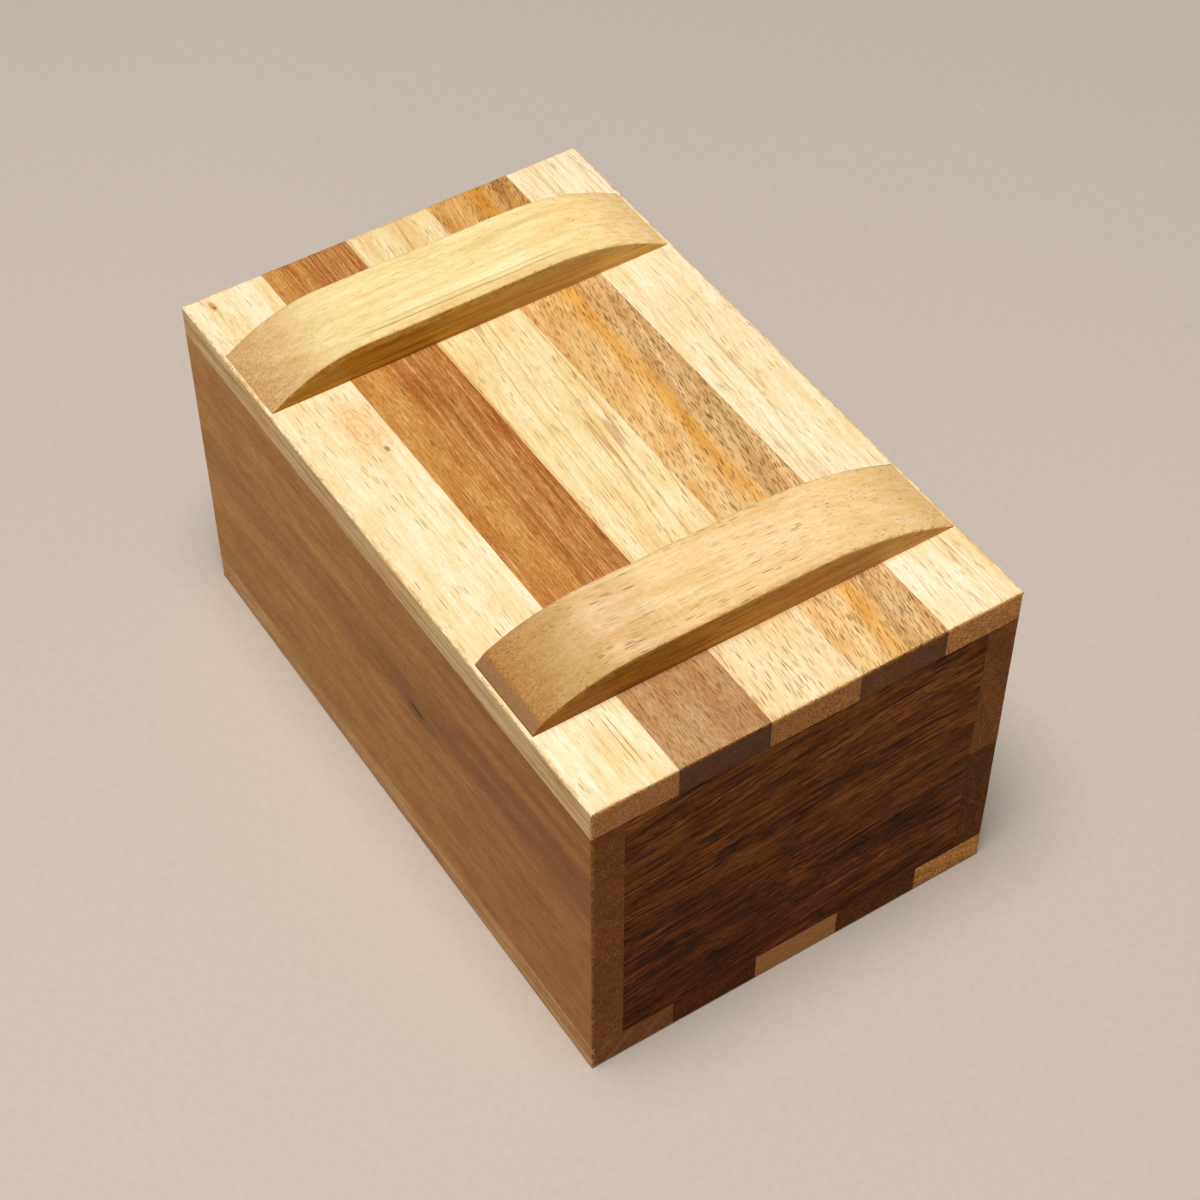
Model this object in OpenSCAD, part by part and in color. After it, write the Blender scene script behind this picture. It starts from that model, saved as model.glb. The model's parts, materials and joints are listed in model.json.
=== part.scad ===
// Wooden puzzle box: a five-strip lid and bottom, board walls, two arched battens on the lid,
// and a hidden lock at each end. Millimetres, +Z up, origin at the bottom centre.
// +X is the front end, -Y is the left side. The lid lifts straight off along +Z.

/* [Box] */
// Length of the box along X
box_length = 130; // [120:1:150]
// Width of the box along Y
box_width = 80; // [76:1:92]
// Height from the base to the lid's top face, without the battens
box_height = 68.4; // [62:0.2:84]
// Thickness of every board
board = 6; // [5:0.5:7]
// Bevel on the corners and round the top and bottom faces
edge_ease = 0.5; // [0.2:0.1:0.8]

/* [Strips and seams] */
// Width of the three middle strips in the lid and in the bottom
strip_width = 16.6; // [15.5:0.1:17.5]
// How far the lid's strip joints sit towards +Y
lid_shift = 0.35; // [-1:0.05:1]
// How far the bottom's strip joints sit towards +Y
bottom_shift = 0.85; // [-1:0.05:1]
// Height of the glue seam between the two boards of the right side
right_seam = 31.6; // [20:0.2:44]

/* [Battens] */
// Width of a batten along X
batten_width = 16.5; // [14:0.5:18]
// Height of a batten above the lid
batten_height = 6.6; // [5:0.1:8]
// How far a batten stops short of the lid's side edge
batten_inset = 0.7; // [0.2:0.1:2]
// Height at which a batten's tip is cut off at 45 degrees
batten_tip = 0.6; // [0.3:0.1:1]
// Middle of the front batten along X
front_batten_x = 39.8; // [36:0.1:44]
// Middle of the rear batten along X
rear_batten_x = -41.4; // [-45:0.1:-38]

/* [Lock] */
// Diameter of a lock pin's shank
pin_diameter = 6; // [5:0.5:6]
// Diameter of a lock pin's head
head_diameter = 9; // [8:0.5:9]
// Thickness of a lock pin's head
head_thickness = 3; // [2:0.5:3]
// How far a lock pin slides
pin_travel = 6; // [5:0.5:6]
// Depth of a pin's axis under the lid
pin_drop = 8; // [7.5:0.5:8.5]
// Radial play between a pin and its bore
pin_play = 0.1; // [0.05:0.01:0.1]
// Height of the keeper bars under the lid
keeper_height = 14; // [13.5:0.5:15]
// Thickness of the keeper bars along X
keeper_thickness = 10; // [9.5:0.5:11]

/* [Hidden] */
$fn = 64;

// Fits
axial_play = 0.2;
lid_side_play = 0.4;
lock_top_gap = 0.4;
keeper_gap = 0.4;
groove_play = 0.2;
shoulder_thickness = 4.6;
block_floor = 9;
pin_tip_bevel = 0.8;
groove_run_out = 1.1;

// Levels and faces
half_length = box_length / 2;
half_width = box_width / 2;
inner_length = half_length - board;
inner_width = half_width - board;
lid_underside = box_height - board;
pin_level = lid_underside - pin_drop;

// The lock, measured along X from the middle of the box
chamber_length = head_thickness + pin_travel + 2 * axial_play;
block_thickness = shoulder_thickness + chamber_length;
block_face = inner_length - block_thickness;
keeper_face = block_face - keeper_gap;
head_inner_face = inner_length - axial_play - head_thickness;
shank_length = head_inner_face - block_face - axial_play;
groove_depth = pin_travel + groove_run_out - keeper_gap - axial_play;

// Arches of the battens: where the flat top ends and the radius beyond it
front_arch_left = [-19.5, 40];
front_arch_right = [12, 62];
rear_arch_left = [-20.5, 31];
rear_arch_right = [16, 45];

lid_colors = ["#d9c294", "#a5693f", "#d4bf95", "#bf8a48", "#dcc893"];
bottom_colors = ["#c09a62", "#7a4a30", "#cdb07a", "#6b4a32", "#c0a06c"];

// Strip joints run parallel to X. Joint 0 and joint 5 are the panel's side edges.
function strip_joint(i, shift) =
  i == 0 ? -half_width
  : i == 5 ? half_width
  : shift + strip_width * (i - 2.5);

// A rectangle with its corners cut at 45 degrees, centred in both directions.
module eased_rectangle(size_x, size_y) {
  x = size_x / 2;
  y = size_y / 2;
  e = edge_ease;
  polygon([
    [-x + e, -y], [x - e, -y], [x, -y + e], [x, y - e],
    [x - e, y], [-x + e, y], [-x, y - e], [-x, -y + e],
  ]);
}

// A whole panel standing on z = 0, with bevels on its corners and round its top face.
module eased_panel(length, width, thickness) {
  intersection() {
    linear_extrude(thickness)
      eased_rectangle(length, width);
    translate([0, width / 2, 0])
      rotate([90, 0, 0])
        linear_extrude(width)
          eased_rectangle(length, 2 * thickness);
    translate([-length / 2, 0, 0])
      rotate([90, 0, 90])
        linear_extrude(length)
          eased_rectangle(width, 2 * thickness);
  }
}

// One strip of a laminated panel, cut out of the whole panel between two joints.
module panel_strip(i, shift) {
  low = strip_joint(i - 1, shift);
  high = strip_joint(i, shift);
  intersection() {
    eased_panel(box_length, box_width, board);
    translate([-half_length, low, 0])
      cube([box_length, high - low, board]);
  }
}

// A wall as high as the space between bottom and lid, cut to the box's bevelled outline.
module wall(x_low, x_high, y_low, y_high, z_low, z_high) {
  intersection() {
    linear_extrude(box_height)
      eased_rectangle(box_length, box_width);
    translate([x_low, y_low, z_low])
      cube([x_high - x_low, y_high - y_low, z_high - z_low]);
  }
}

module lid_strip(i) {
  color(lid_colors[i - 1])
    translate([0, 0, lid_underside])
      panel_strip(i, lid_shift);
}

module bottom_strip(i) {
  color(bottom_colors[i - 1])
    translate([0, 0, board])
      mirror([0, 0, 1])
        panel_strip(i, bottom_shift);
}

// One end of a batten, from the arch's start out to the tip, on the side that direction gives.
module batten_end(arch, direction) {
  start = arch[0];
  radius = arch[1];
  tip = direction * (half_width - batten_inset);
  reach = abs(tip - start);
  intersection() {
    translate([0, (start + tip) / 2, batten_height / 2])
      cube([batten_width, reach, batten_height], center = true);
    translate([0, start, batten_height - radius])
      rotate([0, 90, 0])
        cylinder(h = batten_width, r = radius, center = true, $fn = 180);
    translate([0, tip, batten_tip])
      rotate([-45 * direction, 0, 0])
        translate([0, 0, -half_width])
          cube([2 * batten_width, 2 * box_width, box_width], center = true);
  }
}

// A batten with a flat top that falls away in an arc at each end.
module batten(arch_left, arch_right) {
  union() {
    translate([-batten_width / 2, arch_left[0], 0])
      cube([batten_width, arch_right[0] - arch_left[0], batten_height]);
    batten_end(arch_left, -1);
    batten_end(arch_right, 1);
  }
}

module front_batten() {
  color("#c99f5c")
    translate([front_batten_x, 0, box_height])
      batten(front_arch_left, front_arch_right);
}

module rear_batten() {
  color("#d6b878")
    translate([rear_batten_x, 0, box_height])
      batten(rear_arch_left, rear_arch_right);
}

// A bar across the lid's underside with a groove that a lock pin's tip slides into.
module keeper_bar() {
  length = 2 * (inner_width - lid_side_play);
  groove_height = pin_diameter + 2 * groove_play;
  difference() {
    translate([keeper_face - keeper_thickness, -length / 2, lid_underside - keeper_height])
      cube([keeper_thickness, length, keeper_height]);
    translate([keeper_face - groove_depth, -length / 2 - 1, pin_level - groove_height / 2])
      cube([groove_depth + 1, length + 2, groove_height]);
  }
}

module front_keeper_bar() {
  color("#c8a878")
    keeper_bar();
}

module rear_keeper_bar() {
  color("#c8a878")
    mirror([1, 0, 0])
      keeper_bar();
}

// A block inside an end board: a narrow bore for the pin's shank, then a chamber for its head.
module lock_block() {
  block_low = pin_level - block_floor;
  block_top = lid_underside - lock_top_gap;
  difference() {
    translate([block_face, -inner_width, block_low])
      cube([block_thickness, 2 * inner_width, block_top - block_low]);
    translate([block_face - 1, 0, pin_level])
      rotate([0, 90, 0])
        cylinder(h = block_thickness, d = pin_diameter + 2 * pin_play);
    translate([block_face + shoulder_thickness, 0, pin_level])
      rotate([0, 90, 0])
        cylinder(h = chamber_length + 1, d = head_diameter + 2 * pin_play);
  }
}

module front_lock_block() {
  color("#b08d5e")
    lock_block();
}

module rear_lock_block() {
  color("#b08d5e")
    mirror([1, 0, 0])
      lock_block();
}

// A headed pin, drawn unlocked: its head is against the end board and its tip is inside the block.
module lock_pin() {
  translate([head_inner_face - shank_length, 0, pin_level])
    rotate([0, 90, 0])
      union() {
        cylinder(h = pin_tip_bevel, d1 = pin_diameter - 2 * pin_tip_bevel, d2 = pin_diameter);
        translate([0, 0, pin_tip_bevel])
          cylinder(h = shank_length - pin_tip_bevel, d = pin_diameter);
        translate([0, 0, shank_length])
          cylinder(h = head_thickness, d = head_diameter);
      }
}

module front_lock_pin() {
  color("silver")
    lock_pin();
}

module rear_lock_pin() {
  color("silver")
    mirror([1, 0, 0])
      lock_pin();
}

module left_side_board() {
  color("#8d6a45")
    wall(-half_length, half_length, -half_width, -inner_width, board, lid_underside);
}

module right_side_lower_board() {
  color("#5d4532")
    wall(-half_length, half_length, inner_width, half_width, board, right_seam);
}

module right_side_upper_board() {
  color("#7c6044")
    wall(-half_length, half_length, inner_width, half_width, right_seam, lid_underside);
}

module front_end_board() {
  color("#4a3426")
    wall(inner_length, half_length, -inner_width, inner_width, board, lid_underside);
}

module rear_end_board() {
  color("#4a3426")
    wall(-half_length, -inner_length, -inner_width, inner_width, board, lid_underside);
}

for (i = [1:5])
  lid_strip(i);
for (i = [1:5])
  bottom_strip(i);
rear_batten();
front_batten();
rear_keeper_bar();
front_keeper_bar();
left_side_board();
right_side_lower_board();
right_side_upper_board();
front_end_board();
rear_end_board();
front_lock_block();
rear_lock_block();
front_lock_pin();
rear_lock_pin();
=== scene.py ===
import json
import math

import bpy
import numpy as np
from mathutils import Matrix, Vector, noise


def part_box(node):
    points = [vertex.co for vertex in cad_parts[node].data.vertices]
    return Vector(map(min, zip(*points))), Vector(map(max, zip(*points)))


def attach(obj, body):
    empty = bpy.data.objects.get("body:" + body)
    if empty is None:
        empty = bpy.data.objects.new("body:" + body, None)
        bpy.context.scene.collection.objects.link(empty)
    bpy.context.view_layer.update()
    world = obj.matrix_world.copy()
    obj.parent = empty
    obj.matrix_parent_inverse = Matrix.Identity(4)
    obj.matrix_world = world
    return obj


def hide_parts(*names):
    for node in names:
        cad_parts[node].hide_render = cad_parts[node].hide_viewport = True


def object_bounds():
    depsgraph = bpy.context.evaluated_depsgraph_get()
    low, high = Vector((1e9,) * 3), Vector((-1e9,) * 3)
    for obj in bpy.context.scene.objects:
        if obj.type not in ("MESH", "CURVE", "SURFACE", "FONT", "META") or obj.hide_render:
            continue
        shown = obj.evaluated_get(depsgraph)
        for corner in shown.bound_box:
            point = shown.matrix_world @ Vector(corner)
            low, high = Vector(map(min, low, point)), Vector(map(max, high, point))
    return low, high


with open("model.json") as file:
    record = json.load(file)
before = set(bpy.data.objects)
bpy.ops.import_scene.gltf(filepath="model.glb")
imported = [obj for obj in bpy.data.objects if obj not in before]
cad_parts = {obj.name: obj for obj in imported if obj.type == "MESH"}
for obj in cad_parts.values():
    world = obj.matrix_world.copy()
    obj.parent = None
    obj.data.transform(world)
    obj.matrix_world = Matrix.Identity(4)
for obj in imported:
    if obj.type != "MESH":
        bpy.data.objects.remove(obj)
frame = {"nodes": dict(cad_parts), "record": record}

CAD_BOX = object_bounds()
OUTSIDE_LOW, OUTSIDE_HIGH = (np.array(corner) for corner in CAD_BOX)
MM = 0.001
FLUSH = 0.02  # two faces this close, in millimetres, lie in one plane

RECORD = frame["record"]
BODY = {node: body for body, nodes in RECORD["behaviour"]["bodies"].items() for node in nodes}


# ---------------------------------------------------------------- node graphs

def colour(code):
    """Linear RGBA from a hex code."""
    channels = [int(code[i:i + 2], 16) / 255 for i in (1, 3, 5)]
    linear = [c / 12.92 if c <= 0.04045 else ((c + 0.055) / 1.055) ** 2.4 for c in channels]
    return (*linear, 1.0)


class Graph:
    """The nodes of one material. Lengths inside it are millimetres in the part's frame."""

    def __init__(self, name):
        self.material = bpy.data.materials.new(name)
        self.material.use_nodes = True
        self.tree = self.material.node_tree
        self.tree.nodes.clear()

    def add(self, kind, inputs=None, **settings):
        """A new shader node. An input is either a fixed value or another node's output."""
        node = self.tree.nodes.new("ShaderNode" + kind)
        for key, value in settings.items():
            setattr(node, key, value)
        for key, value in (inputs or {}).items():
            if isinstance(value, bpy.types.NodeSocket):
                self.tree.links.new(value, node.inputs[key])
            else:
                node.inputs[key].default_value = value
        return node

    def math(self, operation, *values):
        return self.add("Math", dict(enumerate(values)), operation=operation).outputs[0]

    def plus(self, a, b):
        return self.math("ADD", a, b)

    def times(self, a, b):
        return self.math("MULTIPLY", a, b)

    def scaled_sum(self, *pairs):
        """The sum of value * factor over the pairs."""
        total = self.times(*pairs[0])
        for value, factor in pairs[1:]:
            total = self.math("MULTIPLY_ADD", value, factor, total)
        return total

    def join(self, x, y, z):
        return self.add("CombineXYZ", {0: x, 1: y, 2: z}).outputs[0]

    def split(self, vector):
        return tuple(self.add("SeparateXYZ", {0: vector}).outputs)

    def step(self, value, low, high):
        """0 at low, 1 at high, smooth between. low may be the larger one."""
        inputs = {"Value": value, "From Min": low, "From Max": high}
        return self.add("MapRange", inputs, interpolation_type="SMOOTHSTEP").outputs[0]

    def near(self, value, middle, inner, outer):
        """1 within inner of the middle, 0 beyond outer."""
        away = self.math("ABSOLUTE", self.math("SUBTRACT", value, middle))
        return self.step(away, outer, inner)

    def mix(self, share, first, second, blend="MIX"):
        inputs = {0: share, 6: first, 7: second}
        node = self.add("Mix", inputs, data_type="RGBA", blend_type=blend, clamp_factor=True)
        return node.outputs[2]

    def noise(self, vector, detail=2.0, roughness=0.5):
        inputs = {"Vector": vector, "Scale": 1.0, "Detail": detail, "Roughness": roughness}
        return self.add("TexNoise", inputs).outputs[0]

    def ramp(self, value, stops):
        """The colour at value on a ramp of (place, hex code) stops."""
        node = self.add("ValToRGB", {0: value})
        elements = node.color_ramp.elements
        while len(elements) < len(stops):
            elements.new(0.5)
        for element, (place, shade) in zip(elements, stops):
            element.position = place
            element.color = colour(shade)
        return node.outputs[0]

    def place(self):
        """x, y and z of the shaded point."""
        position = self.add("TexCoord").outputs["Object"]
        return self.split(self.add("VectorMath", {0: position, 3: 1 / MM}, operation="SCALE").outputs[0])

    def normal(self):
        """Size of the surface normal's x, y and z."""
        parts = self.split(self.add("NewGeometry").outputs["Normal"])
        return tuple(self.math("ABSOLUTE", part) for part in parts)

    def finish(self, shade, roughness, height, depth, **fixed):
        """Shades the surface. depth is how far, in millimetres, height 1 stands above height 0."""
        bump = self.add("Bump", {"Height": height, "Distance": depth * MM, "Strength": 1.0})
        inputs = {"Base Color": shade, "Roughness": roughness, "Normal": bump.outputs[0],
                  **{key.replace("_", " "): value for key, value in fixed.items()}}
        shader = self.add("BsdfPrincipled", inputs)
        self.add("OutputMaterial", {"Surface": shader.outputs[0]})
        return self.material


# ---------------------------------------------------------------- timber

SEED_SPACING = 37.0  # how far apart two boards' textures are cut from the same endless timber
RING_LENGTH = 160


class Grain:
    """A board's own coordinates: along the grain, across it and into the board."""

    def __init__(self, graph, axes, seed, tilt=0.0, dive=0.0, wander=1.2, ripple=0.25):
        g = self.graph = graph
        place = dict(zip("XYZ", g.place()))
        size = dict(zip("XYZ", g.normal()))
        self.x, self.y, self.z = place["X"], place["Y"], place["Z"]
        u, v, w = (place[axis] for axis in axes)
        self.end_facing = size[axes[0]]
        self.side_facing = size[axes[1]]
        self.offset = SEED_SPACING * seed
        self.u = g.plus(u, g.times(v, tilt))
        v = g.plus(g.times(u, -tilt), v)
        w = g.plus(g.times(u, -dive), w)
        bends = self.shifts(v, w, 55, 14)
        shakes = self.shifts(v, w, 9, 2.5)
        own = (1.0, self.offset)
        self.v = g.plus(v, g.scaled_sum((bends[0], 2 * wander), (shakes[0], 2 * ripple), own))
        self.w = g.plus(w, g.scaled_sum((bends[1], 2 * wander), (shakes[1], 2 * ripple), own))

    def shifts(self, v, w, length, width):
        """Random sideways shifts, changing over length along the grain and width across it."""
        g = self.graph
        along = g.scaled_sum((self.u, 1 / length), (1.0, self.offset))
        place = g.join(along, g.times(v, 1 / width), g.times(w, 1 / width))
        return g.split(g.add("TexNoise", {"Vector": place, "Scale": 1.0, "Detail": 1.0}).outputs[1])

    def stretched(self, length, width, shift=0.0):
        """Texture coordinates in which one unit is length along the grain and width across it."""
        g = self.graph
        return g.join(g.scaled_sum((self.u, 1 / length), (1.0, shift)), g.times(self.v, 1 / width),
                      g.times(self.w, 1 / width))

    def streaks(self, length, width, detail=2.0, roughness=0.5, shift=0.0):
        """Noise drawn out along the grain."""
        return self.graph.noise(self.stretched(length, width, shift), detail, roughness)

    def rings(self, width, pith_across, pith_depth):
        """Growth rings round a pith that lies that far from the board's own origin."""
        g = self.graph
        a = g.math("SUBTRACT", self.v, self.offset + pith_across)
        b = g.math("SUBTRACT", self.w, self.offset + pith_depth)
        radius = g.math("SQRT", g.plus(g.times(a, a), g.times(b, b)))
        place = g.join(g.times(radius, 1 / width), g.times(self.u, 1 / RING_LENGTH), self.offset)
        return g.noise(place, 2.0, 0.6)

    def pores(self, length, width, size, share, shift=0.0):
        """Thin open vessels, cut along or across by whatever face they reach."""
        g = self.graph
        inputs = {"Vector": self.stretched(length, width, shift), "Scale": 1.0}
        cell = g.add("TexVoronoi", inputs)
        chance, strength, _ = g.split(cell.outputs["Color"])
        inside = g.step(cell.outputs["Distance"], size, 0.55 * size)
        there = g.math("LESS_THAN", chance, share)
        return g.times(g.times(inside, there), g.scaled_sum((strength, 0.6), (1.0, 0.4)))


def look(**parts):
    """The defaults of a timber's look, with changes."""
    base = dict(
        tilt=0.0, dive=0.01, wander=1.2, ripple=0.2,
        ring_width=1.6, pith=(20.0, -45.0), ring_share=0.40,
        streak_length=45.0, streak_width=0.9, streak_share=0.35,
        fibre_length=7.0, fibre_width=0.16, fibre_share=0.25,
        low=0.37, high=0.63,
        pore_length=3.2, pore_width=0.42, pore_size=0.25, pore_share=0.35,
        pore_colour="#6b4526", pore_strength=0.6, pore_clumps=0.5,
        hair_strength=0.35, fleck_colour="#7a5230", fleck_strength=0.35, fleck_share=0.35,
        mottle=0.6, mottle_colour="#e0c8a4", grit=0.6, grit_colour="#d9c3a2",
        end_colour="#b08a60", end_speckle="#8f7554", end_low=0.35, end_high=0.75,
        roughness=0.47, gloss=0.12, relief=0.05, worn="#c9a878", marks_on_ends=False,
    )
    base.update(parts)
    return base


def cream(**changes):
    """Pale, fine-grained wood with thin brown dashes."""
    return look(**{**dict(
        shades=((0.0, "#e0bb7e"), (0.25, "#f0d6a3"), (0.55, "#f7e6bd"), (1.0, "#fdf3dc")),
        fleck_colour="#a8703a", fleck_strength=0.7, fleck_share=0.6,
        low=0.31, high=0.62, ring_share=0.30, streak_share=0.40, fibre_share=0.30,
        mottle=0.65, mottle_colour="#f6e6c8", grit=0.6, grit_colour="#f2e6d0",
        pore_colour="#84480f", pore_strength=0.8, pore_share=0.45, pore_clumps=0.75,
        pore_length=5.4, pore_width=0.32, pore_size=0.26, hair_strength=0.5,
        end_colour="#d48c2f", worn="#d2a868", roughness=0.5,
    ), **changes})


def red_brown(**changes):
    """Red-brown wood, crossed lengthways by fine pale fibres."""
    return look(**{**dict(
        shades=((0.0, "#955a2f"), (0.35, "#b87e45"), (0.65, "#c99455"), (1.0, "#e5bc81")),
        mottle_colour="#e6cdb0", grit=0.75, grit_colour="#dcc0a2",
        pore_colour="#5a3016", pore_strength=0.7, pore_share=0.5, pore_length=4.6, pore_width=0.34,
        low=0.36, high=0.66, fleck_colour="#e6b878", fleck_strength=0.4, fleck_share=0.5,
        fibre_share=0.42, streak_share=0.38, ring_share=0.2, streak_width=0.7,
        end_colour="#6c370f", worn="#9a6430", roughness=0.42,
    ), **changes})


def golden(**changes):
    """Golden tan wood with short dark pores."""
    return look(**{**dict(
        shades=((0.0, "#bb8746"), (0.4, "#d6a664"), (0.7, "#e2b778"), (1.0, "#edcb94")),
        pore_colour="#4e3018", pore_strength=0.9, pore_share=0.95, pore_length=4.6, pore_clumps=0.3,
        pore_width=0.34, pore_size=0.29, mottle_colour="#ecd2b0", grit_colour="#e6ceaa",
        end_colour="#7d4411", worn="#b98746",
    ), **changes})


def straw(**changes):
    """Light yellow-tan wood with fine pores."""
    return look(**{**dict(
        shades=((0.0, "#d8b770"), (0.4, "#f0d99d"), (0.7, "#f9eab6"), (1.0, "#fff7cd")),
        mottle=0.35, mottle_colour="#f0dcb8", grit=0.4, grit_colour="#eedcba", end_speckle="#d8bc98",
        pore_colour="#8f6436", pore_strength=0.5, pore_share=0.32, pore_length=4.0,
        end_colour="#b98242", worn="#cfa864",
    ), **changes})


def tan(**changes):
    """Plain tan wood."""
    return look(**{**dict(
        shades=((0.0, "#b78145"), (0.4, "#d0a05e"), (0.7, "#ddb06f"), (1.0, "#e9c286")),
        pore_colour="#6d4827", pore_strength=0.5, pore_share=0.3, end_colour="#a8703a",
    ), **changes})


def mid_brown(**changes):
    """Mid-brown wood with long soft streaks."""
    return look(**{**dict(
        shades=((0.0, "#a8702a"), (0.4, "#c48c40"), (0.7, "#ce984a"), (1.0, "#e0ac5a")),
        gloss=0.10, low=0.35, high=0.65, mottle=0.5, mottle_colour="#d8bc98", grit=0.6,
        grit_colour="#d6bc98", fleck_strength=0.5, fleck_share=0.5,
        pore_colour="#62401f", pore_strength=0.45, pore_share=0.35, pore_length=6.0,
        streak_length=60.0, streak_width=1.6, ring_width=3.0, end_colour="#9c5f20", worn="#a87840",
    ), **changes})


def dark_brown(**changes):
    """Dark wood like walnut, strongly streaked."""
    return look(**{**dict(
        shades=((0.0, "#1c0a02"), (0.3, "#582c06"), (0.6, "#864b0e"), (1.0, "#be7222")),
        mottle=0.6, mottle_colour="#a8805c", grit=0.7, grit_colour="#b48c64",
        pore_colour="#120702", pore_strength=0.9, pore_share=0.9, pore_length=5.5, pore_clumps=0.7,
        pore_width=0.42, pore_size=0.31, fleck_colour="#b8762e", fleck_strength=0.35,
        streak_length=26.0, streak_width=0.8, streak_share=0.45,
        ring_width=2.4, ring_share=0.35, low=0.36, high=0.66,
        end_colour="#7d542c", worn="#7a4f28", roughness=0.5, gloss=0.04,
    ), **changes})


def tinted(g, share, shade, code):
    """The shade multiplied by a colour, to the extent of the share."""
    return g.mix(share, shade, g.mix(1.0, shade, colour(code), "MULTIPLY"))


def timber(name, axes, seed, kind, feature=None):
    """A wood material. feature(graph, grain, shade) may paint what only this board has."""
    g = Graph(name)
    grain = Grain(g, axes, seed, kind["tilt"], kind["dive"], kind["wander"], kind["ripple"])
    rings = grain.rings(kind["ring_width"], *kind["pith"])
    streaks = grain.streaks(kind["streak_length"], kind["streak_width"], 3.0, 0.6)
    fibres = grain.streaks(kind["fibre_length"], kind["fibre_width"], 1.0, 0.5, 5.0)
    tone = g.scaled_sum((rings, kind["ring_share"]), (streaks, kind["streak_share"]),
                        (fibres, kind["fibre_share"]))
    limits = {"From Min": kind["low"], "From Max": kind["high"]}
    tone = g.add("MapRange", {"Value": tone, **limits}).outputs[0]
    shade = g.ramp(tone, kind["shades"])

    end = g.step(grain.end_facing, kind["end_low"], kind["end_high"])
    speckle = grain.streaks(0.7, 0.34, 3.0, 0.75, 3.0)
    sawn = g.mix(g.step(speckle, 0.36, 0.64), colour(kind["end_speckle"]), colour("#fff6e6"))
    sawn = g.mix(1.0, colour(kind["end_colour"]), sawn, "MULTIPLY")
    sawn = tinted(g, g.times(g.step(tone, 0.75, 0.15), 0.5), sawn, kind["end_speckle"])

    clumps = g.step(grain.streaks(26.0, 4.0, 1.0, 0.5, 11.0), 0.36, 0.60)
    clumps = g.scaled_sum((clumps, kind["pore_clumps"]), (1.0, 1 - kind["pore_clumps"]))
    pores = grain.pores(kind["pore_length"], kind["pore_width"], kind["pore_size"], kind["pore_share"])
    dashes = g.times(pores, clumps)
    if feature and not kind["marks_on_ends"]:
        shade = feature(g, grain, shade)
    mottle = g.times(g.step(grain.streaks(11.0, 3.4, 3.0, 0.6, 19.0), 0.62, 0.36), kind["mottle"])
    shade = tinted(g, mottle, shade, kind["mottle_colour"])
    grit = g.times(g.step(grain.streaks(1.3, 0.24, 2.0, 0.7, 23.0), 0.60, 0.36), kind["grit"])
    shade = tinted(g, grit, shade, kind["grit_colour"])
    shade = g.mix(g.times(end, 0.9), shade, sawn)
    if feature and kind["marks_on_ends"]:
        shade = feature(g, grain, shade)
    shade = g.mix(g.times(dashes, kind["pore_strength"]), shade, colour(kind["pore_colour"]))
    lengthways = g.math("SUBTRACT", 1.0, end)
    flecks = g.times(grain.pores(8.0, 0.34, 0.25, kind["fleck_share"], 9.0), lengthways)
    shade = g.mix(g.times(flecks, kind["fleck_strength"]), shade, colour(kind["fleck_colour"]))
    hairs = g.times(grain.pores(16.0, 0.40, 0.20, 0.20, 7.0), lengthways)
    shade = g.mix(g.times(hairs, kind["hair_strength"]), shade, colour(kind["pore_colour"]))

    edge = g.add("Attribute", attribute_name="worn").outputs["Fac"]
    rubbed = g.times(edge, g.step(grain.streaks(1.8, 0.7, 2.0, 0.6, 8.0), 0.40, 0.62))
    shade = g.mix(g.times(rubbed, 0.7), shade, colour(kind["worn"]))
    lumps = g.noise(g.join(*(g.times(axis, 1.3) for axis in (grain.x, grain.y, grain.z))), 2.0, 0.6)
    dents = g.times(edge, g.step(lumps, 0.60, 0.70))
    shade = g.mix(g.times(dents, 0.6), shade, colour(kind["pore_colour"]))

    smoothest = kind["roughness"] - 0.08
    roughness = g.scaled_sum((fibres, 0.16), (dashes, 0.18), (end, 0.14), (1.0, smoothest))
    height = g.scaled_sum((fibres, 0.45), (streaks, 0.3), (dashes, -1.0), (g.times(end, speckle), 0.8),
                          (dents, -0.8))
    return g.finish(shade, roughness, height, kind["relief"], Specular_IOR_Level=kind["gloss"])


# ---------------------------------------------------------------- what only one board has

KNOT_X, KNOT_Y = -19.5, -27.2
CRACK_X, CRACK_Z = 12.2, 38.2
CRACK_LENGTH, CRACK_WIDTH = 2.6, 0.5
STAIN_LENGTH, STAIN_WIDTH = 9, 3


def squares(g, a, b):
    """The square of a plus the square of b."""
    return g.plus(g.times(a, a), g.times(b, b))


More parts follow.
